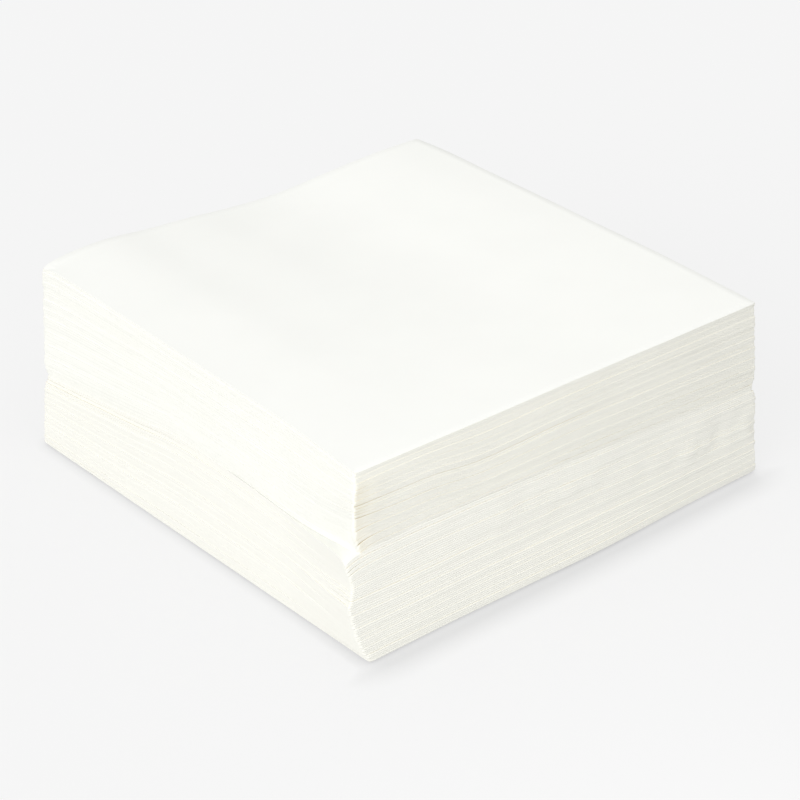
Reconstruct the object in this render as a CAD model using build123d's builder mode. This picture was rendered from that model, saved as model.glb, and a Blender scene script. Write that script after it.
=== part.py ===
"""Stack of fifty paper napkins, in two bundles of twenty-five.

Each napkin is one square sheet of tissue folded in half and in half again, so it is a pad
of four leaves with one closed corner. The sheet's centre, and so the closed corner, is thicker
than the rest. The lower bundle has its closed corners at the near corner of the stack and the
upper bundle is turned half round, which levels the top: each bundle is a wedge.

Origin: centre of the underside. +Z up. The near corner is at -X -Y.
"""

import os
from math import sin

from build123d import *

# The folded napkin, mm
napkin_side = 165.0
napkins_per_bundle = 25
leaves = 4
air_gap = 0.04

# Thickness of the lower bundle under each corner of the stack
lower_near_thickness = 42.0
lower_right_thickness = 32.4
lower_far_thickness = 15.3
lower_left_thickness = 24.9

# Thickness of the upper bundle under each corner of the stack
upper_near_thickness = 25.1
upper_right_thickness = 30.3
upper_far_thickness = 45.0
upper_left_thickness = 42.1

# Waves of the loosely piled sheets
top_sag = 1.7
boundary_wave = 3.1

# How the pile leans and spreads
foot_spread = 1.1
lean = 2.0
squeeze = 0.4
left_inset = 2.9
right_inset = 0.6
far_inset = 1.3
near_bulge = 7.0
waist_depth = 1.6
loose_shift = 0.3

# Folds and cut edges of one napkin
fold_depth = 0.75
slit_depth = 2.4
overrun = 0.6

# Creases that run across the sheets, as shares of a side from the rim
crease_x_shares = (0.6,)
crease_y_shares = (0.22, 0.6)

# Waves from rim to rim over the creases: how far each follows its named height
sag_x_shares = (0.0, 1.0, 0.0)
sag_y_shares = (0.5, 0.6, 0.8, 1.0)
wave_y_shares = (0.0, -1.0, 1.0, 0.0)

# Bulge of the near corner from the foot of a bundle to its top
lower_bulge_shares = (0.0, 0.6, 1.0, 0.75, 0.9)
upper_bulge_shares = (0.4, 0.38, 0.36, 0.28, 0.17)
waist_reach_share = 0.12

# Section of a napkin's edges, as shares of its thickness
leaf_slit_share = 0.04
fold_flat_share = 0.4


def between(low, high, share):
    """Value at a share of the way from low to high."""
    return low + (high - low) * share


def along(values, share):
    """Value at a share of the way along evenly spaced values."""
    steps = len(values) - 1
    index = min(int(share * steps), steps - 1)
    return between(values[index], values[index + 1], share * steps - index)


def knots(crease_shares):
    """Rim and crease places across the stack, from one rim to the other."""
    return [napkin_side * (share - 1 / 2) for share in (0, *crease_shares, 1)]


knots_x = knots(crease_x_shares)
knots_y = knots(crease_y_shares)


def ramp(places, values, place):
    """Piecewise straight curve through values at places, run on past both ends."""
    index = 0
    while index < len(places) - 2 and place > places[index + 1]:
        index += 1
    share = (place - places[index]) / (places[index + 1] - places[index])
    return between(values[index], values[index + 1], share)


def corner_blend(near, right, far, left, x, y):
    """Twisted plane through the heights over the four corners."""
    share_x = x / napkin_side + 1 / 2
    share_y = y / napkin_side + 1 / 2
    front = between(near, right, share_x)
    back = between(left, far, share_x)
    return between(front, back, share_y)


def boundary_height(x, y):
    """Height of the sheet where the two bundles meet."""
    plain = corner_blend(
        lower_near_thickness, lower_right_thickness, lower_far_thickness, lower_left_thickness, x, y
    )
    return plain + boundary_wave * ramp(knots_y, wave_y_shares, y)


def top_height(x, y):
    """Height of the top of the stack."""
    lower = corner_blend(
        lower_near_thickness, lower_right_thickness, lower_far_thickness, lower_left_thickness, x, y
    )
    upper = corner_blend(
        upper_near_thickness, upper_right_thickness, upper_far_thickness, upper_left_thickness, x, y
    )
    return lower + upper - top_sag * ramp(knots_x, sag_x_shares, x) * ramp(knots_y, sag_y_shares, y)


def sheet_height(number, x, y):
    """Height of the meeting surface over this many napkins."""
    if number <= napkins_per_bundle:
        return boundary_height(x, y) * number / napkins_per_bundle
    share = (number - napkins_per_bundle) / napkins_per_bundle
    return between(boundary_height(x, y), top_height(x, y), share)


def stack_height(number, share, x, y):
    """Height at a share of the way between the two meeting surfaces of a napkin."""
    return between(sheet_height(number, x, y), sheet_height(number + 1, x, y), share)


def pad_height(number, share, x, y):
    """Height at a share of a napkin's thickness, inside the thin air gaps."""
    return stack_height(number, share, x, y) + air_gap * (1 / 2 - share)


def bulge(number):
    """Outward bulge of the near corner at this napkin."""
    if number < napkins_per_bundle:
        return near_bulge * along(lower_bulge_shares, (number + 1 / 2) / napkins_per_bundle)
    share = (number - napkins_per_bundle + 1 / 2) / napkins_per_bundle
    return near_bulge * along(upper_bulge_shares, share)


def waist(number):
    """How far the corners draw in where the two bundles meet."""
    distance = abs(number + 1 / 2 - napkins_per_bundle) / (waist_reach_share * napkins_per_bundle)
    return waist_depth * max(0, 1 - distance)


def left_rim(number, y):
    """X of the left rim at a place along Y."""
    rise = (number + 1 / 2) / (2 * napkins_per_bundle)
    away = y / napkin_side + 1 / 2
    near = bulge(number) * max(0, 1 - away / crease_y_shares[0])
    inset = (left_inset * rise - foot_spread * (1 - rise) + waist(number)) * away
    return -napkin_side / 2 - near + inset + loose_shift * sin(number * number)


def right_rim(number, y):
    """X of the right rim at a place along Y."""
    rise = (number + 1 / 2) / (2 * napkins_per_bundle)
    away = y / napkin_side + 1 / 2
    inset = between(right_inset, far_inset, away) * rise - foot_spread * (1 - rise)
    return napkin_side / 2 - inset - waist(number) + loose_shift * sin(number * number)


def front_rim(number):
    """Y of the rim on the near and right side."""
    rise = (number + 1 / 2) / (2 * napkins_per_bundle)
    spread = foot_spread * (1 - rise)
    return -napkin_side / 2 - spread + (lean + squeeze) * rise - loose_shift * sin(2 * number)


def back_rim(number):
    """Y of the rim on the far and left side."""
    rise = (number + 1 / 2) / (2 * napkins_per_bundle)
    spread = foot_spread * (1 - rise)
    return napkin_side / 2 + spread + (lean - squeeze) * rise - loose_shift * sin(2 * number)


# Section of each kind of edge, from the underside up: depth in from the rim, share of the
# thickness. The single fold goes round the whole pad.
fold_edge_share = (1 - fold_flat_share) / 2
single_fold = [
    (fold_depth, 0),
    (0, fold_edge_share),
    (0, 1 - fold_edge_share),
    (fold_depth, 1),
]

# The first fold, doubled by the second, gives two folds one on the other
double_fold = [
    (depth, (half + share) / 2) for half in range(2) for depth, share in single_fold[half:]
]

# Cut edges of the leaves, with a slit between each leaf and the next
cut_edges = [(0, 0)]
for leaf in range(1, leaves):
    cut_edges += [
        (0, leaf / leaves - leaf_slit_share),
        (slit_depth, leaf / leaves),
        (0, leaf / leaves + leaf_slit_share),
    ]
cut_edges += [(0, 1)]

# The pile's own middle in plan, which becomes the origin
numbers = range(2 * napkins_per_bundle)
rims_x = [rim(number, y) for number in numbers for rim in (left_rim, right_rim) for y in knots_y]
rims_y = [rim(number) for number in numbers for rim in (front_rim, back_rim)]
middle_x = (min(rims_x) + max(rims_x)) / 2
middle_y = (min(rims_y) + max(rims_y)) / 2

os.makedirs("parts", exist_ok=True)

for number in numbers:
    in_lower = number < napkins_per_bundle
    front = front_rim(number)
    back = back_rim(number)
    creases_x = [] if in_lower else knots_x[1:-1]

    # The closed corner is near in the lower bundle and far in the upper one
    left_edge, right_edge = (single_fold, cut_edges) if in_lower else (cut_edges, single_fold)
    front_edge, back_edge = (double_fold, cut_edges) if in_lower else (cut_edges, double_fold)

    with BuildPart() as napkin:
        # The pad of leaves, from section to section across the stack, a little overlong
        for y in (front - overrun, *knots_y[1:-1], back + overrun):
            left_places = [(left_rim(number, y) + depth, share) for depth, share in left_edge]
            right_places = [(right_rim(number, y) - depth, share) for depth, share in right_edge]
            outline = [
                *reversed(left_places),
                *[(x, 0) for x in creases_x],
                *right_places,
                *[(x, 1) for x in reversed(creases_x)],
            ]
            with BuildSketch(Plane.XZ.offset(middle_y - y)):
                with BuildLine():
                    Polyline(
                        *[(x - middle_x, pad_height(number, share, x, y)) for x, share in outline],
                        close=True,
                    )
                make_face()
        loft(ruled=True, clean=False)

        # The front and back edges, trimmed to their sections
        for rim, inward, edge in ((front, 1, front_edge), (back, -1, back_edge)):
            trim = [(-2 * overrun, -1 / 2), *edge, (-2 * overrun, 3 / 2)]
            left_end = left_rim(number, rim) - overrun
            right_end = right_rim(number, rim) + overrun
            for x in (left_end, *creases_x, right_end):
                places = [(rim + inward * depth, share) for depth, share in trim]
                with BuildSketch(Plane.YZ.offset(x - middle_x)):
                    with BuildLine():
                        Polyline(
                            *[(y - middle_y, stack_height(number, share, x, y)) for y, share in places],
                            close=True,
                        )
                    make_face()
            loft(ruled=True, clean=False, mode=Mode.SUBTRACT)

    bundle = "lower" if in_lower else "upper"
    napkin.part.label = f"{bundle}_napkin_{number % napkins_per_bundle + 1:02d}"
    export_step(napkin.part, f"parts/{napkin.part.label}.step")
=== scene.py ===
"""Looks of a stack of fifty paper napkins in two bundles, on a pale studio floor.

Each napkin is one closed mesh that stands for its CAD solid. Its rims carry the folded or cut
leaves, and neighbours follow the surface on which they meet. Lengths of the pile are millimetres:
heights over the table and places from the middle of its plan. Lengths of the studio are metres.
Shares u and v run from 0 to 1, from left to right and from front to back; the near corner of the
photograph is at u = v = 0.
"""

import logging
from dataclasses import dataclass, field
from enum import Enum
from math import cos, exp, pi, radians, sin, sqrt

import bmesh
import bpy
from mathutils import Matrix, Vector, noise

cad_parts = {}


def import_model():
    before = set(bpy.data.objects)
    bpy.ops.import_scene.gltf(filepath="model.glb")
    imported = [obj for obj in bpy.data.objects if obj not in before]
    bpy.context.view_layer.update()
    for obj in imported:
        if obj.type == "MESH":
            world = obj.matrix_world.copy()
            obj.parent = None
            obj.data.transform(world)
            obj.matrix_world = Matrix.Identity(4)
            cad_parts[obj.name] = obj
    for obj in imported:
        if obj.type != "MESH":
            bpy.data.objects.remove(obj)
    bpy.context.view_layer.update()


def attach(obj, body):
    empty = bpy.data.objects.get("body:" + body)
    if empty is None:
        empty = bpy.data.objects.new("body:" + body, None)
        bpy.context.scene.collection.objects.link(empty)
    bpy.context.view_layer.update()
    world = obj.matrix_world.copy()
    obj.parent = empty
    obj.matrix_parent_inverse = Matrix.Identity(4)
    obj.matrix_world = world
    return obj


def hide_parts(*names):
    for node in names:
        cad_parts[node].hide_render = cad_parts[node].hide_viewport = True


LOG = logging.getLogger("napkins")

MM = 0.001
SIDE = 165.0
LEAVES = 4
BUNDLE = 25
COUNT = 2 * BUNDLE

# The frame's origin in the plan of the pile
MIDDLE = (-2.923, 0.272)

# Sides of a napkin, in the order of every tuple of four
LEFT, RIGHT, FRONT, BACK = range(4)

# Vertices nearer than this are one, in shares of a side
MERGE = 1e-5

# Creases sharper than this are shaded sharp
SHARP = radians(60)


def mix(low: float, high: float, share: float) -> float:
    """Value at a share of the way from low to high."""
    return low + (high - low) * share


def ease(share: float) -> float:
    """Smooth step from 0 to 1, level on both sides."""
    share = min(1.0, max(0.0, share))
    return share * share * (3 - 2 * share)


def hump(place: float, centre: float, reach: float) -> float:
    """Bell that is 1 at its centre and has mostly faded at its reach."""
    return exp(-(((place - centre) / reach) ** 2) * 2)


def wander(x: float, y: float, seed: float) -> float:
    """Smooth noise of about -1 to 1, one unit per wave, in a field of its own for each seed."""
    # The shifts and the step keep the points off the noise's own grid, where it is 0
    return noise.noise(Vector((x + 31.7, y - 17.3, seed * 1.37 + 5.1)))


@dataclass(frozen=True)
class Curve:
    """Smooth curve through measured points.

    Args:
        points: Pairs of place and value, in order of place.
    """

    points: tuple[tuple[float, float], ...]

    def slope(self, index: int) -> float:
        """Slope at a point, from its neighbours.

        Args:
            index: Which point.

        Returns:
            The slope there.
        """
        before = self.points[max(0, index - 1)]
        after = self.points[min(len(self.points) - 1, index + 1)]
        return (after[1] - before[1]) / (after[0] - before[0])

    def at(self, place: float) -> float:
        """Value of the curve.

        Args:
            place: Where; outside the points the end value holds.

        Returns:
            The value there.
        """
        if place <= self.points[0][0]:
            return self.points[0][1]
        for index, (start, end) in enumerate(zip(self.points, self.points[1:])):
            if place <= end[0]:
                width = end[0] - start[0]
                t = (place - start[0]) / width
                return (
                    (2 * t**3 - 3 * t**2 + 1) * start[1]
                    + (t**3 - 2 * t**2 + t) * width * self.slope(index)
                    + (3 * t**2 - 2 * t**3) * end[1]
                    + (t**3 - t**2) * width * self.slope(index + 1)
                )
        return self.points[-1][1]


@dataclass(frozen=True)
class Wave:
    """Random waves of the sheets.

    Args:
        height: How high they are.
        length: How long they are.
        seed: Which field of noise they follow.
        drift: How far that field moves on from sheet to sheet.
    """

    height: float
    length: float
    seed: float
    drift: float

    def at(self, x: float, y: float, number: float) -> float:
        """Height of one sheet's waves at a place, up or down."""
        seed = self.seed + number * self.drift
        return self.height * wander(x / self.length, y / self.length, seed)


class Rim(Enum):
    """What a napkin shows at one of its four sides."""

    CUT = "four leaf ends with slits between them"
    SINGLE_FOLD = "one round fold round all the leaves"
    DOUBLE_FOLD = "two round folds side by side"


@dataclass(frozen=True)
class RimSection:
    """Section of a rim through the thickness of a napkin, ring by ring from the top down.

    Args:
        leaf_reach: How unevenly the leaves end at a cut rim.
        nick: Depth of the rounding of one loose leaf's end.
        slit: Depth of the slits between loose leaves.
        border: Depth of the groove between two napkins' cut rims, as a share of the slits.
        fold: Depth of a loose fold's rounding.
        squareness: Power of that rounding; 2 is half a circle.
        slip: How far loose folds lie in from each other.
        pressed: Share of these depths that is left where the pile is pressed tight.
        leaf_rings: Rings of one leaf, as shares of the napkin's thickness.
        pressed_shade: Painted shade of a groove where the pile is pressed tight.
        slit_shade: Painted shade of a slit, as a share of a groove's.
        fold_shade: Painted shade of the groove between two folds, as a share of that.
    """

    leaf_reach: float = 0.22
    nick: float = 0.12
    slit: float = 1.2
    border: float = 0.12
    fold: float = 0.42
    squareness: float = 2.4
    slip: float = 0.35
    pressed: float = 0.12
    leaf_rings: tuple[float, ...] = (0.0, 0.03, 0.125, 0.22)
    pressed_shade: float = 0.12
    slit_shade: float = 0.7
    fold_shade: float = 0.6

    @property
    def shares(self) -> tuple[float, ...]:
        """Shares of the thickness of every ring, 0 at the top and 1 at the bottom."""
        rings = [leaf / LEAVES + share for leaf in range(LEAVES) for share in self.leaf_rings]
        return (*rings, 1.0)

    def inset(
        self, rim: Rim, ring: int, leaves: tuple[float, ...], loose: float
    ) -> tuple[float, float]:
        """How far a ring lies inside the rim, and how deep its painted shade is.

        Args:
            rim: The rim's kind.
            ring: Which ring, from the top down.
            leaves: How far each leaf ends short, from 0 to 1.
            loose: How loose the pile is there, from 0 to 1.

        Returns:
            The distance inwards and the painted shade from 0 to 1.
        """
        depth = mix(self.pressed, 1.0, loose)
        # Painted shade of the grooves, deeper where the rims stand loose
        deep = mix(self.pressed_shade, 1.0, loose)
        steps = len(self.leaf_rings)
        last = LEAVES * steps
        if rim is Rim.CUT:
            leaf = min(LEAVES - 1, ring // steps)
            short = self.leaf_reach * leaves[leaf]
            if ring in (0, last):
                return short + self.nick * depth + self.border * self.slit * depth, deep
            if ring % steps == 0:
                between = (leaves[leaf - 1] + leaves[leaf]) / 2 * self.leaf_reach
                return between + self.slit * depth, self.slit_shade * deep
            return short + self.nick * depth * (ring % steps in (1, steps - 1)), 0.0
        share = self.shares[ring]
        single = rim is Rim.SINGLE_FOLD
        lobe = share if single else 2 * share - (share > 0.5)
        round_off = 1 - sqrt(max(0.0, 1 - abs(2 * lobe - 1) ** self.squareness))
        cleft = not single and ring == last // 2
        slip = self.slip * leaves[0 if single or share < 0.5 else 1]
        inset = self.fold * depth * (round_off + cleft) + slip * depth
        return inset, (self.fold_shade * deep if ring in (0, last // 2, last) else 0.0)


@dataclass(frozen=True)
class Gap:
    """A gap between two napkins that stands open along a stretch of one side.

    Args:
        number: Napkins below the gap.
        side: Which side.
        start: Share of the side at which it starts.
        end: Share at which it has closed.
        width: How wide it opens.
        fade: Share of the stretch over which it opens and closes.
    """

    number: int
    side: int
    start: float
    end: float
    width: float
    fade: float = 0.12

    def at(self, place: float) -> float:
        """Width of the gap at a place.

        Args:
            place: Share along the side.

        Returns:
            The width there.
        """
        reach = self.fade * (self.end - self.start)
        opened = ease((place - self.start) / reach + 1)
        return self.width * opened * ease((self.end - place) / reach)


@dataclass(frozen=True)
class Sheets:
    """Surfaces on which the napkins meet, as measured on the photograph.

    Args:
        lower_corners: Thickness of the lower bundle at the near, right, far and left corners.
        left_wave: Wave of the face between the bundles along the left side.
        left_wave_kept: Share of it that is left at the right side.
        front_wave: Wave of the same face along the front.
        front_wave_fade: How fast it fades; 3 is gone at a third of the way back.
        top_left: Height of the top's left edge, from the near corner.
        top_front: Height of the top's front edge, from the near corner.
        top_back: Height of the top's back edge, from the left corner.
        top_right: Height of the top's right edge, from the right corner.
        hang: How far the top's left corner hangs.
        hang_reach: Within which share of a side.
        front_dip: Dip of the upper bundle's sheets along the front.
        front_dip_fade: How fast it fades towards the back.
        corner_rise: How far the sheets swell up at the near corner, by height share of the pile.
        corner_rise_reach: Within which share of a side.
        droop: How far the leaves between the bundles hang at the near corner.
        droop_reach: Within which share of a side.
        droop_start: Height share of the lower bundle at which they start to hang.
        droop_span: Height share of each bundle over which this grows or ends.
        lift: How far the lowest rims curl off the table.
        lift_reach: Within which share of a side.
        lifted: Napkins over which the curl fades.
        broad: Broad waves, which fade towards the faces of the bundles.
        fine: Fine waves, unlike from sheet to sheet.
        fine_rise: How fast they rise from those faces.
    """

    lower_corners: tuple[float, float, float, float] = (42.0, 32.4, 15.3, 24.9)
    left_wave: Curve = Curve(
        ((0, 0), (0.12, -2.4), (0.22, -3.0), (0.38, 0.4), (0.56, 3.1), (0.7, 1.9), (0.85, 0.9),
         (1, 0))
    )
    left_wave_kept: float = 0.85
    front_wave: Curve = Curve(
        ((0, -1.4), (0.1, -0.7), (0.2, 0.1), (0.46, 0.4), (0.72, 0.1), (0.9, 0), (1, 0))
    )
    front_wave_fade: float = 3.0
    top_left: Curve = Curve(((0, 67.1), (0.5, 67.0), (0.81, 66.9), (1, 66.7)))
    top_front: Curve = Curve(((0, 67.1), (0.5, 65.0), (1, 62.9)))
    top_back: Curve = Curve(
        ((0, 66.7), (0.1, 67.0), (0.17, 66.6), (0.26, 64.7), (0.375, 62.9), (0.48, 60.8),
         (0.57, 59.6), (0.65, 59.4), (0.75, 60.1), (0.89, 60.5), (1, 59.8))
    )
    top_right: Curve = Curve(
        ((0, 62.9), (0.2, 63.1), (0.28, 63.0), (0.45, 62.4), (0.6, 62.0), (0.77, 61.3),
         (0.9, 60.9), (1, 59.8))
    )
    hang: float = 1.8
    hang_reach: float = 0.025
    front_dip: Curve = Curve(
        ((0, 0.5), (0.06, 1.3), (0.125, 1.5), (0.19, 1.1), (0.28, -0.5), (0.35, -0.6),
         (0.52, 0.3), (0.7, 0.3), (1, 0))
    )
    front_dip_fade: float = 4.0
    corner_rise: Curve = Curve(
        ((0, 0), (0.25, 0.4), (0.5, 2.0), (0.6, 2.4), (0.68, 2.3), (0.76, 1.5), (0.88, 0.3),
         (1, 0))
    )
    corner_rise_reach: float = 0.13
    droop: float = 4.2
    droop_reach: float = 0.03
    droop_start: float = 0.55
    droop_span: float = 0.45
    lift: float = 1.0
    lift_reach: float = 0.025
    lifted: float = 7.0
    broad: tuple[Wave, Wave] = (Wave(0.5, 70.0, 0.0, 0.035), Wave(0.2, 28.0, 9.0, 0.07))
    fine: Wave = Wave(0.07, 24.0, 40.0, 0.9)
    fine_rise: float = 6.0

    def boundary(self, u: float, v: float) -> float:
        """Height of the face between the bundles.

        Args:
            u: Share from left to right.
            v: Share from front to back.

        Returns:
            The height.
        """
        near, right, far, left = self.lower_corners
        flat = mix(mix(near, right, u), mix(left, far, u), v)
        along_left = self.left_wave.at(v) * mix(1, self.left_wave_kept, u)
        along_front = self.front_wave.at(u) * (1 - ease(v * self.front_wave_fade))
        return flat + along_left + along_front

    def top(self, u: float, v: float) -> float:
        """Height of the pile's top.

        Args:
            u: Share from left to right.
            v: Share from front to back.

        Returns:
            The height.
        """
        front, back = self.top_front.at(u), self.top_back.at(u)
        left, right = self.top_left.at(v), self.top_right.at(v)
        near_side = mix(self.top_front.at(0), self.top_front.at(1), u)
        far_side = mix(self.top_back.at(0), self.top_back.at(1), u)
        corners = mix(near_side, far_side, v)
        hang = self.hang * exp(-sqrt(u * u + (1 - v) ** 2) / self.hang_reach)
        return mix(front, back, v) + mix(left, right, u) - corners - hang

    def height(self, number: int, u: float, v: float) -> float:
        """Height of the surface under a napkin.

        Args:
            number: Napkins below the surface.
            u: Share from left to right.
            v: Share from front to back.

        Returns:
            The height.
        """
        boundary = self.boundary(u, v)
        far = sqrt(u * u + v * v)
        tip = exp(-far / self.droop_reach)
        if number <= BUNDLE:
            share = number / BUNDLE
            height = boundary * share
            height -= self.droop * tip * ease((share - self.droop_start) / self.droop_span)
            edge = min(u, v, 1 - u, 1 - v)
            curl = self.lift * max(0.0, 1 - edge / self.lift_reach)
            height += curl * max(0.0, 1 - number / self.lifted)
        else:
            share = (number - BUNDLE) / BUNDLE
            height = mix(boundary, self.top(u, v), share)
            dip = self.front_dip.at(u) * (1 - ease(v * self.front_dip_fade))
            height += dip * 4 * share * (1 - share)
            height -= self.droop * tip * (1 - ease(share / self.droop_span))
        swell = max(0.0, 1 - far / self.corner_rise_reach) ** 2
        height += self.corner_rise.at(number / COUNT) * swell
        free = share * (1 - share) * 4
        x, y = u * SIDE, v * SIDE
        broad = self.broad[0].at(x, y, number) + self.broad[1].at(x, y, number)
        fine = self.fine.at(x, y, number)
        return height + broad * free + fine * min(1.0, free * self.fine_rise)


@dataclass(frozen=True)
class Outline:
    """Places of every napkin's four rims, as measured on the photograph.

    Args:
        bulge: How far the near corner swells out, by height share of the pile.
        bulge_reach: Along which share of the left side.
        bulge_power: How steeply it fades.
        foot: How far the lowest rims spread.
        waist: How far the rims draw in between the bundles.
        waist_napkins: Over how many napkins.
        slip: How far single napkins lie off.
        left_lean: How far the top's far left corner lies in.
        right_lean: How far the top's right rim lies in, at the front and at the back.
        front_lean: How far the top's front rim lies in.
        back_lean: How far the top's back rim lies out.
        lower_pucker: Depth of the waves along the lower bundle's rims.
        upper_pucker: Depth of the waves along the upper bundle's rims.
        pucker_rise: Twice the height share at which the lower waves are deepest.
        left_pucker: Share of the waves' depth that the left rims take.
        pucker_waves: Waves along a side.
        belly: How far the lowest napkins swell out at the front.
        belly_place: Share of the front at which they do, and within which.
        belly_napkins: Over how many napkins.
        crumple: Depth of the creases across the lower bundle's front.
        crumple_waves: Creases along the front.
        crumple_start: Share of the front at which they start, and over which they grow.
        crumple_napkins: Napkin about which they lie, at the left and at the right.
        crumple_reach: Napkins over which they fade.
    """

    bulge: Curve = Curve(
        ((0, -0.4), (0.055, 2.1), (0.13, 4.4), (0.224, 6.5), (0.27, 7.2), (0.33, 5.8),
         (0.39, 5.9), (0.45, 7.0), (0.492, 7.6), (0.508, 3.0), (0.6, 4.0), (0.75, 3.6),
         (0.87, 2.9), (1, 2.4))
    )
    bulge_reach: float = 0.24
    bulge_power: float = 1.3
    foot: float = 1.1
    waist: float = 1.6
    waist_napkins: float = 3.0
    slip: float = 0.12
    left_lean: float = 2.9
    right_lean: tuple[float, float] = (0.6, 1.3)
    front_lean: float = 2.4
    back_lean: float = 1.6
    lower_pucker: float = 0.45
    upper_pucker: float = 0.12
    pucker_rise: float = 0.7
    left_pucker: float = 0.5
    pucker_waves: float = 9.0
    belly: float = 1.1
    belly_place: tuple[float, float] = (0.56, 0.3)
    belly_napkins: float = 9.0
    crumple: float = 0.8
    crumple_waves: float = 36.0
    crumple_start: tuple[float, float] = (0.2, 0.3)
    crumple_napkins: tuple[float, float] = (22.0, 14.0)
    crumple_reach: float = 8.0

    def creases(self, number: int, u: float) -> float:
        """Creases of the crumpled sheets at the front.

        Args:
            number: Which napkin of the pile.
            u: Share from left to right.

        Returns:
            How far they push the front rim in or out.
        """
        start, growth = self.crumple_start
        depth = self.crumple * wander(u * self.crumple_waves, number * 0.16, 55)
        middle = mix(*self.crumple_napkins, u)
        return depth * ease((u - start) / growth) * hump(number, middle, self.crumple_reach)

    def rims(self, number: int, u: float, v: float) -> tuple[float, float, float, float]:
        """Places of a napkin's four rims.

        Args:
            number: Which napkin of the pile.
            u: Share from left to right.
            v: Share from front to back.

        Returns:
            Left, right, front and back, in pile coordinates.
        """
        rise = (number + 0.5) / COUNT
        spread = self.foot * (1 - rise)
        waist = self.waist * max(0.0, 1 - abs(number + 0.5 - BUNDLE) / self.waist_napkins)
        slip = self.slip * sin(number * number)
        pucker = self.upper_pucker
        if number < BUNDLE:
            pucker = self.lower_pucker * (1 - abs(2 * rise - self.pucker_rise))
        waves = self.pucker_waves
        sway = pucker * wander(u * waves, v * waves, 71 + number * 0.22)
        near = self.bulge.at(rise) * max(0.0, 1 - v / self.bulge_reach) ** self.bulge_power
        left_slant = (self.left_lean * rise - spread + waist) * v
        left = -SIDE / 2 - near + left_slant + slip + self.left_pucker * sway
        right_slant = mix(*self.right_lean, v) * rise - spread
        right = SIDE / 2 - right_slant - waist + slip + sway
        belly = self.belly * hump(u, *self.belly_place) * max(0.0, 1 - number / self.belly_napkins)
        front = -SIDE / 2 - spread + self.front_lean * rise - slip + sway - belly
        front += self.creases(number, u)
        back = SIDE / 2 + spread + self.back_lean * rise - slip + sway
        return left, right, front, back


@dataclass(frozen=True)
class Play:
    """How loosely the rims lie on each other, and the gaps between them.

    Args:
        base: Looseness of each side.
        patches: How much looser some patches of each side are.
        patch_waves: Patches along a side and over the height of the pile.
        fan: How much looser the upper bundle's leaves are at the near corner.
        fan_reach: Within which share of the front.
        fan_rise: Between which height shares of the pile.
        swell: How much looser the lower bundle is near the near corner.
        swell_place: At which share of the front, and within which.
        swell_rise: At which height share of the pile, and within which.
        least_gap: Gap between any two rims.
        lower_gap: Width of a gap by chance where the lower bundle is loose.
        upper_gap: Width of a gap by chance where the upper bundle is loose.
        chance_waves: Chances along a side, and how far their field moves on from gap to gap.
        chance_shift: How much more often than not a gap opens.
        fan_gap: Least gap between the leaves that fan out, and how much more by chance.
        fan_end: Napkins below the highest gap of the fan.
        gaps: Gaps that stand open in the photograph.
    """

    base: tuple[float, float, float, float] = (-0.06, 0.2, 0.1, 0.2)
    patches: tuple[float, float, float, float] = (0.1, 0.3, 0.3, 0.3)
    patch_waves: tuple[float, float] = (6.0, 5.0)
    fan: float = 0.75
    fan_reach: float = 0.035
    fan_rise: tuple[float, float] = (0.5, 0.9)
    swell: float = 0.18
    swell_place: tuple[float, float] = (0.12, 0.3)
    swell_rise: tuple[float, float] = (0.22, 0.2)
    least_gap: float = 0.003
    lower_gap: float = 0.04
    upper_gap: float = 0.07
    chance_waves: tuple[float, float] = (4.5, 1.7)
    chance_shift: float = 0.05
    fan_gap: tuple[float, float] = (0.04, 0.12)
    fan_end: int = 38
    gaps: tuple[Gap, ...] = (
        Gap(38, FRONT, 0.0, 0.60, 0.19),
        Gap(38, FRONT, 0.84, 0.99, 0.07),
        Gap(34, FRONT, 0.0, 0.58, 0.09),
        Gap(44, FRONT, 0.0, 0.62, 0.06),
        Gap(36, FRONT, 0.0, 0.08, 0.05),
        Gap(25, LEFT, 0.12, 0.42, 0.10),
    )

    def loose(self, number: int, side: int, place: float) -> float:
        """How loose the rims are at a place.

        Args:
            number: Which napkin of the pile.
            side: Which side.
            place: Share along the side.

        Returns:
            0 where they are pressed tight to 1 where they stand open.
        """
        rise = (number + 0.5) / COUNT
        along, up = self.patch_waves
        patch = 0.5 + 0.5 * wander(place * along, rise * up, 80 + side)
        loose = self.base[side] + self.patches[side] * max(0.0, patch - 0.5)
        if side == FRONT:
            low, high = self.fan_rise
            loose += self.fan * exp(-place / self.fan_reach) * (low < rise < high)
            loose += self.swell * hump(place, *self.swell_place) * hump(rise, *self.swell_rise)
        return min(1.0, loose)

    def opening(self, number: int, side: int, place: float) -> float:
        """Width of the gap between two napkins at the rim.

        Args:
            number: Napkins below the gap.
            side: Which side.
            place: Share along the side.

        Returns:
            The width.
        """
        loose = self.loose(number, side, place)
        along, step = self.chance_waves
        noise_at = wander(place * along, number * step, 90 + side)
        chance = max(0.0, noise_at + self.chance_shift)
        wide = sum(
            gap.at(place) for gap in self.gaps if gap.number == number and gap.side == side
        )
        widest = self.lower_gap if number < BUNDLE else self.upper_gap
        spread = widest * max(0.0, loose) * chance
        fanned = side == FRONT and BUNDLE < number < self.fan_end
        corner = exp(-place / self.fan_reach) * fanned
        least, more = self.fan_gap
        return self.least_gap + mix(spread, least + more * chance, corner) + wide


@dataclass(frozen=True)
class PileShape:
    """Shape of the whole pile.

    Args:
        sheets: Surfaces on which the napkins meet.
        outline: Places of their rims.
        play: How loosely the rims lie.
    """

    sheets: Sheets = Sheets()
    outline: Outline = Outline()
    play: Play = Play()


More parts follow.
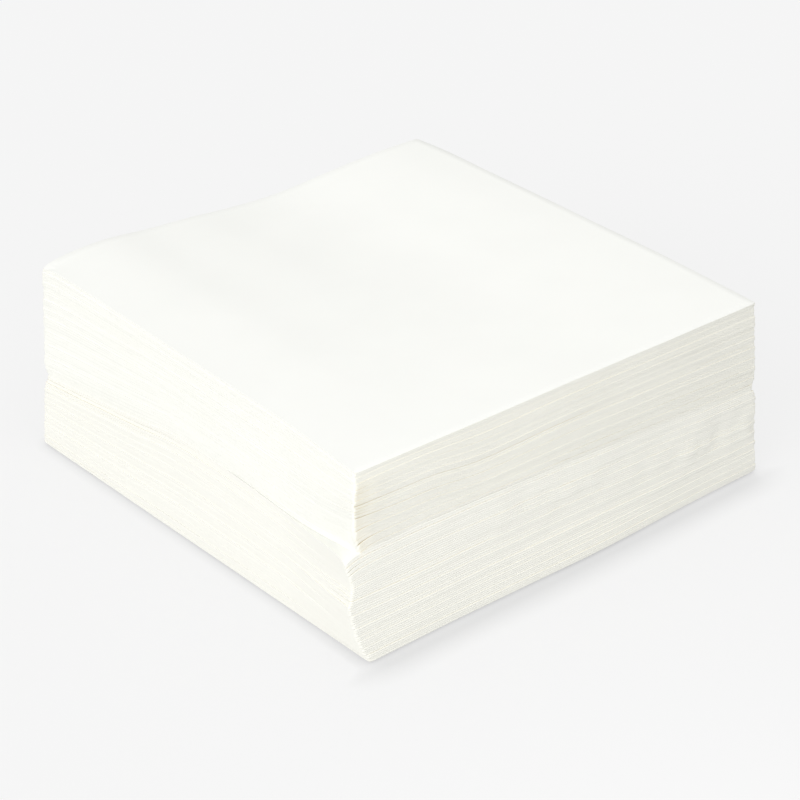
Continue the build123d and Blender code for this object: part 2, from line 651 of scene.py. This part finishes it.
def add_noise(
    tree: bpy.types.NodeTree, place: bpy.types.NodeSocket, scale: float, detail: float
) -> bpy.types.NodeSocket:
    """Adds a noise texture to a material.

    Args:
        tree: The material's nodes.
        place: Where the noise is read.
        scale: Waves in a metre, or in a unit of the place.
        detail: Octaves of finer noise.

    Returns:
        The value of the noise.
    """
    texture = tree.nodes.new("ShaderNodeTexNoise")
    texture.inputs["Scale"].default_value = scale
    texture.inputs["Detail"].default_value = detail
    tree.links.new(place, texture.inputs["Vector"])
    return texture.outputs["Fac"]


def add_mix(
    tree: bpy.types.NodeTree,
    factor: bpy.types.NodeSocket,
    first: bpy.types.NodeSocket | tuple[float, float, float],
    second: tuple[float, float, float],
) -> bpy.types.NodeSocket:
    """Adds a blend of two colours to a material.

    Args:
        tree: The material's nodes.
        factor: Share of the second colour.
        first: The first colour, or where it comes from.
        second: The second colour.

    Returns:
        The blended colour.
    """
    blend = tree.nodes.new("ShaderNodeMix")
    blend.data_type = "RGBA"
    if isinstance(first, tuple):
        blend.inputs["A"].default_value = (*first, 1.0)
    else:
        tree.links.new(first, blend.inputs["A"])
    blend.inputs["B"].default_value = (*second, 1.0)
    tree.links.new(factor, blend.inputs["Factor"])
    return blend.outputs["Result"]


def add_math(
    tree: bpy.types.NodeTree,
    operation: str,
    first: bpy.types.NodeSocket | float,
    second: bpy.types.NodeSocket | float,
) -> bpy.types.NodeSocket:
    """Adds a sum of two values to a material.

    Args:
        tree: The material's nodes.
        operation: Blender's name of the operation.
        first: The first value, or where it comes from.
        second: The second value, or where it comes from.

    Returns:
        The result.
    """
    node = tree.nodes.new("ShaderNodeMath")
    node.operation = operation
    for socket, value in zip(node.inputs, (first, second)):
        if isinstance(value, float):
            socket.default_value = value
        else:
            tree.links.new(value, socket)
    return node.outputs["Value"]


@dataclass(frozen=True)
class TissueFinish:
    """Soft white tissue paper.

    Args:
        name: Name of the material.
        edge_tone_and_shade: Colour of the paper seen edge on, partly its own and partly painted
            shade; the lower bundle's is set a little darker for its shade.
        tint: Colour of the open paper.
        shade: Colour of the painted shade deep between the leaves and the napkins.
        roughness: How matt the paper is.
        specular: How much it shines.
        blotch: Brightness of its thin blotches, as a share of the tint's.
        blotch_scale: Blotches in a metre.
        fibre_scale: Fibres in a metre.
        streak_scale: Streaks in a metre, across, along and up the edges of the sheets.
        grain: Strength of the relief.
        fibre_height: Height of the fibres' relief.
        streak_height: Height of the streaks' relief.
    """

    name: str
    edge_tone_and_shade: tuple[float, float, float]
    tint: tuple[float, float, float] = (0.93, 0.935, 0.90)
    shade: tuple[float, float, float] = (0.81, 0.73, 0.55)
    roughness: float = 0.92
    specular: float = 0.15
    blotch: float = 0.965
    blotch_scale: float = 45.0
    fibre_scale: float = 1400.0
    streak_scale: tuple[float, float, float] = (40.0, 40.0, 1300.0)
    grain: float = 0.05
    fibre_height: float = 0.0002
    streak_height: float = 0.0003

    def material(self) -> bpy.types.Material:
        """Node material: fibres, streaks, blotches, the edge colour and painted shade in the slits.

        Returns:
            The new material, which reads the attributes "edge" and "slit" of the mesh; "slit" is
            the share of painted shade.
        """
        material = bpy.data.materials.new(self.name)
        material.use_nodes = True
        tree = material.node_tree
        nodes, links = tree.nodes, tree.links
        shader = nodes["Principled BSDF"]
        shader.inputs["Roughness"].default_value = self.roughness
        shader.inputs["Specular IOR Level"].default_value = self.specular
        place = nodes.new("ShaderNodeTexCoord").outputs["Object"]

        fibres = add_noise(tree, place, self.fibre_scale, 4.0)
        stretch = nodes.new("ShaderNodeMapping")
        stretch.inputs["Scale"].default_value = self.streak_scale
        links.new(place, stretch.inputs["Vector"])
        streaks = add_noise(tree, stretch.outputs["Vector"], 1.0, 3.0)
        blotches = add_noise(tree, place, self.blotch_scale, 3.0)

        thin = tuple(value * self.blotch for value in self.tint)
        paper = add_mix(tree, blotches, self.tint, thin)
        slit = nodes.new("ShaderNodeAttribute")
        slit.attribute_name = "slit"
        edge = nodes.new("ShaderNodeAttribute")
        edge.attribute_name = "edge"
        # Edge colour on the rims: part the paper's own and part painted shade, which the lit left
        # side takes less of
        edge_tone_and_shade = add_mix(tree, edge.outputs["Fac"], paper, self.edge_tone_and_shade)
        # Painted shade: the slit attribute blends in a dark ochre where leaves and napkins meet and
        # gaps open
        painted_shade_added = add_mix(tree, slit.outputs["Fac"], edge_tone_and_shade, self.shade)
        links.new(painted_shade_added, shader.inputs["Base Color"])

        facing = shader.inputs["Normal"]
        for height, distance in ((streaks, self.streak_height), (fibres, self.fibre_height)):
            bump = nodes.new("ShaderNodeBump")
            bump.inputs["Strength"].default_value = self.grain
            bump.inputs["Distance"].default_value = distance
            links.new(height, bump.inputs["Height"])
            links.new(bump.outputs["Normal"], facing)
            facing = bump.inputs["Normal"]
        return material


@dataclass(frozen=True)
class Napkin:
    """One folded napkin of the pile.

    Args:
        number: Place in the pile, from 0 at the bottom.
        node: Name of its CAD node.
        rims: Kinds of its left, right, front and back rims.
        shape: Shape of the pile.
        section: Section of its rims.
        corner: Radius of its worn corners.
        band: Width of the strip between the rim and the flat of the pad.
        flat_clearance: How far its flats keep from the faces on which it meets its neighbours.
        rim_reach: Share of a side within which a column takes a rim's section.
        crowding: How much closer the columns stand near the corners, from 0 to 1.
        outer_grid: Cells along a side and cuts of each border edge, for the outer napkins.
        inner_grid: The same for the others.
        corner_painted_shade: Share of painted shade added to the upper bundle's front near the near
            corner, where the leaves fan open.
        corner_painted_shade_reach: Within which share of the front.
        corner_painted_shade_start: Share of the front over which it rises.
        corner_painted_shade_end: Napkins below the highest napkin that takes it.
        left_painted_shade: Share of painted shade added all over the lower bundle's left side.
        left_shade: Share of the painted shade that the left side's grooves take, since that side
            faces the sun.
        lit_left_edge_share: Share of the edge's colour that the left side takes; that side faces
            the sun, so taking less of it paints it paler, as lit.
    """

    number: int
    node: str
    rims: tuple[Rim, Rim, Rim, Rim]
    shape: PileShape
    section: RimSection
    corner: float = 1.0
    band: float = 3.0
    flat_clearance: float = 0.006
    rim_reach: float = 0.02
    crowding: float = 0.8
    outer_grid: tuple[int, int] = (48, 1)
    inner_grid: tuple[int, int] = (12, 7)
    corner_painted_shade: float = 0.28
    corner_painted_shade_reach: float = 0.03
    corner_painted_shade_start: float = 0.01
    corner_painted_shade_end: int = 46
    left_painted_shade: float = 0.07
    left_shade: float = 0.15
    lit_left_edge_share: float = 0.5

    @property
    def outer(self) -> bool:
        """Whether the napkin's flat face is the pile's top or underside."""
        return self.number in (0, COUNT - 1)

    def pad(self) -> bmesh.types.BMesh:
        """Closed pad in plan shares: x and y from 0 to 1, z is minus the ring.

        Returns:
            The pad's mesh, for shape_pad() to place.
        """
        cells, cuts = self.outer_grid if self.outer else self.inner_grid
        rings = len(self.section.shares) + 2
        pad = bmesh.new()
        bmesh.ops.create_grid(pad, x_segments=cells, y_segments=cells, size=0.5)
        bmesh.ops.translate(pad, verts=pad.verts, vec=(0.5, 0.5, 0.0))
        border = [edge for edge in pad.edges if edge.is_boundary]
        bmesh.ops.subdivide_edges(pad, edges=border, cuts=cuts)
        under = bmesh.ops.duplicate(pad, geom=[*pad.verts, *pad.edges, *pad.faces])["geom"]
        under_verts = [item for item in under if isinstance(item, bmesh.types.BMVert)]
        bmesh.ops.translate(pad, verts=under_verts, vec=(0, 0, 1 - rings))
        under_faces = [item for item in under if isinstance(item, bmesh.types.BMFace)]
        bmesh.ops.reverse_faces(pad, faces=under_faces)
        ring = [edge for edge in pad.edges if edge.is_boundary and edge.verts[0].co.z > -0.5]
        for _ in range(rings - 1):
            made = bmesh.ops.extrude_edge_only(pad, edges=ring)["geom"]
            low = [item for item in made if isinstance(item, bmesh.types.BMVert)]
            bmesh.ops.translate(pad, verts=low, vec=(0, 0, -1))
            lowered = set(low)
            edges = [item for item in made if isinstance(item, bmesh.types.BMEdge)]
            ring = [edge for edge in edges if all(vert in lowered for vert in edge.verts)]
        bmesh.ops.remove_doubles(pad, verts=pad.verts, dist=MERGE)
        bmesh.ops.recalc_face_normals(pad, faces=pad.faces)
        return pad

    def spread(self, share: float) -> float:
        """Place of a column of the pad, closer together near the corners.

        Args:
            share: Even share from 0 to 1.

        Returns:
            The uneven share.
        """
        if self.outer:
            return share
        return share - self.crowding * sin(2 * pi * share) / (2 * pi)

    def point(self, x: float, y: float, height: float) -> Vector:
        """Point of the pile in the frame, in metres, never below the table."""
        return Vector(((x - MIDDLE[0]) * MM, (y - MIDDLE[1]) * MM, max(0.0, height) * MM))

    def leaf_ends(self, side: int, place: float) -> tuple[float, ...]:
        """How far each leaf ends short at a place.

        Args:
            side: Which side.
            place: Share along the side.

        Returns:
            A value from 0 to 1 for each leaf.
        """
        ends = []
        for leaf in range(LEAVES):
            across = self.number * 1.9 + leaf * 0.61
            ends.append(0.5 + 0.5 * wander(place * 3, across, side + leaf * 3.3))
        return tuple(ends)

    def worn_corners(self, near: tuple[float, float, float, float]) -> list[float]:
        """How far the worn corners draw the rims in.

        Args:
            near: Share of a side from each rim.

        Returns:
            The distance inwards from each rim.
        """
        arc = [0.0, 0.0, 0.0, 0.0]
        for first in (LEFT, RIGHT):
            for second in (FRONT, BACK):
                reach = max(near[first], near[second]) * SIDE / self.corner
                if reach >= 1:
                    continue
                turn = radians(45) * (1 - reach)
                inwards = self.corner * (1 - cos(turn))
                along = self.corner * (1 - sin(turn)) - reach * self.corner
                if near[first] <= near[second]:
                    arc[first], arc[second] = inwards, max(arc[second], along)
                if near[second] <= near[first]:
                    arc[second], arc[first] = inwards, max(arc[first], along)
        return arc

    def column(self, u: float, v: float) -> list[tuple[Vector, float]]:
        """Every ring of the pad's rim at one place.

        Args:
            u: Share from left to right.
            v: Share from front to back.

        Returns:
            For each ring, its point and its painted shade.
        """
        sheets, play, section = self.shape.sheets, self.shape.play, self.section
        places = self.shape.outline.rims(self.number, u, v)
        near = (u, 1 - u, v, 1 - v)
        side = min(range(4), key=lambda index: near[index])
        along = v if side in (LEFT, RIGHT) else u
        low = sheets.height(self.number, u, v)
        high = sheets.height(self.number + 1, u, v)
        low += play.opening(self.number, side, along) / 2 if self.number else 0.0
        high -= play.opening(self.number + 1, side, along) / 2 if self.number < COUNT - 1 else 0.0
        insets: list[list[float]] = []
        shades: list[float] = []
        for index, kind in enumerate(self.rims):
            weight = max(0.0, 1 - near[index] / self.rim_reach)
            if weight == 0.0:
                insets.append([0.0] * len(section.shares))
                continue
            place = v if index in (LEFT, RIGHT) else u
            loose = play.loose(self.number, index, place)
            leaves = self.leaf_ends(index, place)
            rings = [
                section.inset(kind, ring, leaves, loose) for ring in range(len(section.shares))
            ]
            insets.append([inset * weight for inset, _ in rings])
            if index == side:
                shades = [shade for _, shade in rings]
        arc = self.worn_corners(near)
        # Painted shade: more ochre at the upper bundle's front near the near corner and on the
        # lower bundle's left side, less in the left side's grooves
        in_corner_shade = side == FRONT and BUNDLE <= self.number < self.corner_painted_shade_end
        fading = exp(-along / self.corner_painted_shade_reach) * ease(along / self.corner_painted_shade_start)
        in_left_shade = side == LEFT and self.number < BUNDLE
        painted_shade_added = self.corner_painted_shade * fading * in_corner_shade + self.left_painted_shade * in_left_shade
        shown = self.left_shade if side == LEFT else 1.0
        column = []
        for ring, share in enumerate(section.shares):
            left, right, front, back = (insets[index][ring] + arc[index] for index in range(4))
            x = mix(places[LEFT], places[RIGHT], u) + left - right
            y = mix(places[FRONT], places[BACK], v) + front - back
            point = self.point(x, y, mix(high, low, share))
            column.append((point, mix(shown * shades[ring], 1.0, painted_shade_added)))
        return column

    def flat_point(self, ring: int, u: float, v: float) -> Vector:
        """Point of the pad's upper or lower flat.

        Args:
            ring: 0 for the upper flat, anything else for the lower one.
            u: Share of the flat from left to right.
            v: Share from front to back.

        Returns:
            The point, in metres.
        """
        left, right, front, back = self.shape.outline.rims(self.number, u, v)
        level = self.number + (ring == 0)
        inner = self.band / SIDE
        height = self.shape.sheets.height(level, mix(inner, 1 - inner, u), mix(inner, 1 - inner, v))
        height += self.flat_clearance * (1 if ring else -1) if 0 < level < COUNT else 0.0
        x = mix(left + self.band, right - self.band, u)
        y = mix(front + self.band, back - self.band, v)
        return self.point(x, y, height)

    def shape_pad(self, pad: bmesh.types.BMesh) -> None:
        """Moves every vertex of the pad to its place and writes the finish's attributes.

        Args:
            pad: The pad, in plan shares.
        """
        slit = pad.verts.layers.float.new("slit")
        edge = pad.verts.layers.float.new("edge")
        last = len(self.section.shares) + 1
        columns: dict[tuple[float, float], list[tuple[Vector, float]]] = {}
        for vert in pad.verts:
            ring = round(-vert.co.z)
            key = (round(vert.co.x, 6), round(vert.co.y, 6))
            u, v = self.spread(key[0]), self.spread(key[1])
            if ring in (0, last):
                # The flats between two napkins take the full painted shade, since they show only
                # through the gaps
                vert[slit] = float(self.number + (ring == 0) not in (0, BUNDLE, COUNT))
                vert.co = self.flat_point(ring, u, v)
                continue
            if key not in columns:
                columns[key] = self.column(u, v)
            vert.co, shade = columns[key][ring - 1]
            bottom = self.number in (0, BUNDLE) and ring == last - 1
            outside = bottom or (self.number in (BUNDLE - 1, COUNT - 1) and ring == 1)
            # Painted shade of the rims, kept off the faces that lie open
            vert[slit] = 0.0 if outside else shade
            # The left side faces the sun and takes less of the edge colour: painted light
            on_left = u < min(v, 1 - v, 1 - u)
            vert[edge] = 0.0 if outside and self.outer else self.lit_left_edge_share if on_left else 1.0

    def mesh(self) -> bpy.types.Object:
        """The napkin's mesh, in its place.

        Returns:
            The new object, with the attributes that the finish reads.
        """
        pad = self.pad()
        self.shape_pad(pad)
        pad.normal_update()
        for face in pad.faces:
            face.smooth = True
        for edge in pad.edges:
            edge.smooth = edge.calc_face_angle(0.0) < SHARP
        data = bpy.data.meshes.new(f"{self.node}_sheets")
        pad.to_mesh(data)
        pad.free()
        napkin = bpy.data.objects.new(f"{self.node}_sheets", data)
        bpy.context.scene.collection.objects.link(napkin)
        return napkin

    def dress(self, material: bpy.types.Material) -> bpy.types.Object:
        """Makes the napkin, gives it its finish and puts it in for its solid.

        Args:
            material: The paper.

        Returns:
            The finished piece.
        """
        piece = self.mesh()
        piece.data.materials.append(material)
        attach(piece, "root")
        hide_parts(self.node)
        return piece


@dataclass
class Bundle:
    """Twenty-five napkins that lie the same way round.

    Args:
        name: lower or upper.
        first: Number of its lowest napkin in the pile.
        rims: Kinds of the left, right, front and back rims.
        finish: Its paper.
        shape: Shape of the pile.
        section: Section of the rims.
        pieces: What has been made.
    """

    name: str
    first: int
    rims: tuple[Rim, Rim, Rim, Rim]
    finish: TissueFinish
    shape: PileShape = field(default_factory=PileShape)
    section: RimSection = field(default_factory=RimSection)
    pieces: list[bpy.types.Object] = field(default_factory=list)

    def build(self) -> list[bpy.types.Object]:
        """Makes all the napkins of the bundle.

        Returns:
            The pieces, from the lowest up.
        """
        material = self.finish.material()
        for index in range(BUNDLE):
            node = f"{self.name}_napkin_{index + 1:02d}"
            napkin = Napkin(self.first + index, node, self.rims, self.shape, self.section)
            self.pieces.append(napkin.dress(material))
        faces = sum(len(piece.data.polygons) for piece in self.pieces)
        LOG.info("%s bundle: %d napkins, %d faces", self.name, len(self.pieces), faces)
        return self.pieces


@dataclass(frozen=True)
class Studio:
    """Pale floor, soft light and the photograph's camera. Angles are degrees.

    Args:
        floor_size: Half the floor's side.
        floor_level: Grey of the floor as the camera sees it.
        bounce: Grey of the floor as the pile sees it.
        glow: Part of the floor's brightness that glows to the camera, which only the painted
            contact shadow darkens.
        glow_level: Grey of that part.
        contact: Strength of the painted contact shadow along the left side and along the front.
        contact_reach: Its reach along the same sides.
        contact_turn: Where along Y the one passes into the other.
        ambient: Strength of the light from all round.
        key: Strength of the soft sun from the left.
        key_from: Direction that the sun comes from.
        key_angle: Width of the sun's disc.
        fill: Power of the small panel before the near corner.
        fill_size: Side of that panel.
        fill_place: Where the panel stands.
        fill_from: Direction that its light comes from.
        azimuth: Angle of the camera round the pile.
        elevation: Its angle over the table.
        distance: Its distance from its target.
        target: What it aims at, in millimetres of the pile.
        lens: Focal length, in millimetres.
        sensor: Width of the sensor, in millimetres.
        clip: Nearest distance that it sees.
    """

    floor_size: float = 6.0
    floor_level: float = 0.89
    bounce: float = 0.52
    glow: float = 0.80
    glow_level: float = 0.913
    contact: tuple[float, float] = (0.24, 0.61)
    contact_reach: tuple[float, float] = (0.0045, 0.0135)
    contact_turn: tuple[float, float] = (-0.082, -0.088)
    ambient: float = 0.87
    key: float = 1.20
    key_from: tuple[float, float, float] = (-0.90, -0.10, 0.44)
    key_angle: float = 50.0
    fill: float = 0.12
    fill_size: float = 0.16
    fill_place: tuple[float, float, float] = (-0.115, -0.30, 0.12)
    fill_from: tuple[float, float, float] = (-0.10, -1.0, -0.05)
    azimuth: float = -40.71
    elevation: float = 31.0
    distance: float = 1.02107
    target: tuple[float, float, float] = (-9.843, -12.807, 32.0)
    lens: float = 143.11
    sensor: float = 36.0
    clip: float = 0.05

    def contact_shadow(self, tree: bpy.types.NodeTree) -> bpy.types.NodeSocket:
        """The narrow shadow painted where the pile meets the floor, from an occlusion test.

        Args:
            tree: The floor material's nodes.

        Returns:
            The shadow's strength at each point of the floor.
        """
        place = tree.nodes.new("ShaderNodeTexCoord")
        split = tree.nodes.new("ShaderNodeSeparateXYZ")
        tree.links.new(place.outputs["Object"], split.inputs["Vector"])
        passed = []
        for low, high in (self.contact_reach, self.contact):
            turn = tree.nodes.new("ShaderNodeMapRange")
            turn.interpolation_type = "SMOOTHSTEP"
            turn.inputs["From Min"].default_value = self.contact_turn[0]
            turn.inputs["From Max"].default_value = self.contact_turn[1]
            turn.inputs["To Min"].default_value = low
            turn.inputs["To Max"].default_value = high
            tree.links.new(split.outputs["Y"], turn.inputs["Value"])
            passed.append(turn.outputs["Result"])
        reach, strength = passed
        near = tree.nodes.new("ShaderNodeAmbientOcclusion")
        near.samples = 16
        tree.links.new(reach, near.inputs["Distance"])
        hidden = add_math(tree, "SUBTRACT", 1.0, near.outputs["AO"])
        return add_math(tree, "MULTIPLY", hidden, strength)

    def floor_material(self) -> bpy.types.Material:
        """Paint of the floor: bright to the camera, darker to the pile.

        Returns:
            The new material.
        """
        material = bpy.data.materials.new("studio_floor_paint")
        material.use_nodes = True
        tree = material.node_tree
        nodes, links = tree.nodes, tree.links
        shader = nodes["Principled BSDF"]
        shader.inputs["Roughness"].default_value = 0.95
        shader.inputs["Specular IOR Level"].default_value = 0.0
        path = nodes.new("ShaderNodeLightPath").outputs
        seen = add_math(tree, "MAXIMUM", path["Is Camera Ray"], path["Is Glossy Ray"])
        seen = add_math(tree, "MAXIMUM", seen, path["Is Transmission Ray"])
        paint = add_mix(tree, seen, (self.bounce,) * 3, (self.floor_level,) * 3)
        links.new(paint, shader.inputs["Base Color"])

        shadow = self.contact_shadow(tree)
        # Painted contact shadow in the floor's glow
        tone = add_mix(tree, shadow, (self.glow_level,) * 3, (0.0, 0.0, 0.0))
        backdrop = nodes.new("ShaderNodeEmission")
        links.new(tone, backdrop.inputs["Color"])
        share = add_math(tree, "MULTIPLY", seen, self.glow)
        blend = nodes.new("ShaderNodeMixShader")
        links.new(share, blend.inputs["Fac"])
        links.new(shader.outputs["BSDF"], blend.inputs[1])
        links.new(backdrop.outputs["Emission"], blend.inputs[2])
        links.new(blend.outputs["Shader"], nodes["Material Output"].inputs["Surface"])
        return material

    def floor(self) -> bpy.types.Object:
        """Large plain floor at the pile's underside.

        Returns:
            The floor.
        """
        plate = bmesh.new()
        bmesh.ops.create_grid(plate, x_segments=1, y_segments=1, size=self.floor_size)
        data = bpy.data.meshes.new("studio_floor")
        plate.to_mesh(data)
        plate.free()
        floor = bpy.data.objects.new("studio_floor", data)
        bpy.context.scene.collection.objects.link(floor)
        data.materials.append(self.floor_material())
        return floor

    def light(self) -> None:
        """World light, one soft sun and a small panel before the near corner."""
        scene = bpy.context.scene
        scene.world = scene.world or bpy.data.worlds.new("studio_world")
        scene.world.use_nodes = True
        background = scene.world.node_tree.nodes["Background"]
        background.inputs["Color"].default_value = (1.0, 1.0, 1.0, 1.0)
        background.inputs["Strength"].default_value = self.ambient
        lamps = []
        for name, kind, power, towards in (
            ("studio_sun", "SUN", self.key, self.key_from),
            ("studio_fill", "AREA", self.fill, self.fill_from),
        ):
            data = bpy.data.lights.new(name, kind)
            data.energy = power
            lamp = bpy.data.objects.new(name, data)
            scene.collection.objects.link(lamp)
            lamp.rotation_euler = Vector(towards).to_track_quat("Z", "Y").to_euler()
            lamps.append(lamp)
        sun, panel = lamps
        sun.data.angle = radians(self.key_angle)
        panel.data.size = self.fill_size
        panel.location = self.fill_place
        scene.view_settings.view_transform = "Standard"

    def camera(self) -> bpy.types.Object:
        """Camera that takes the photograph's view.

        Returns:
            The camera.
        """
        azimuth, elevation = radians(self.azimuth), radians(self.elevation)
        x, y, height = self.target
        target = Vector(((x - MIDDLE[0]) * MM, (y - MIDDLE[1]) * MM, height * MM))
        away = (sin(azimuth) * cos(elevation), -cos(azimuth) * cos(elevation), sin(elevation))
        back = Vector(away)
        data = bpy.data.cameras.new("photo_camera")
        data.sensor_width = self.sensor
        data.lens = self.lens
        data.clip_start = self.clip
        camera = bpy.data.objects.new("photo_camera", data)
        bpy.context.scene.collection.objects.link(camera)
        camera.location = target + back * self.distance
        camera.rotation_euler = back.to_track_quat("Z", "Y").to_euler()
        bpy.context.scene.camera = camera
        return camera


def main() -> None:
    """Builds the pile and its studio."""
    logging.basicConfig(level=logging.INFO, format="%(name)s: %(message)s")
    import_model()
    lower = Bundle(
        "lower",
        0,
        (Rim.SINGLE_FOLD, Rim.CUT, Rim.DOUBLE_FOLD, Rim.CUT),
        # The lower bundle's edge colour is a little darker, as painted shade
        TissueFinish("lower_tissue_paper", edge_tone_and_shade=(0.935, 0.93, 0.868)),
    )
    upper = Bundle(
        "upper",
        BUNDLE,
        (Rim.CUT, Rim.SINGLE_FOLD, Rim.CUT, Rim.DOUBLE_FOLD),
        TissueFinish("upper_tissue_paper", edge_tone_and_shade=(0.938, 0.933, 0.871)),
    )
    lower.build()
    upper.build()
    studio = Studio()
    studio.floor()
    studio.light()
    studio.camera()


if __name__ == "__main__":
    main()
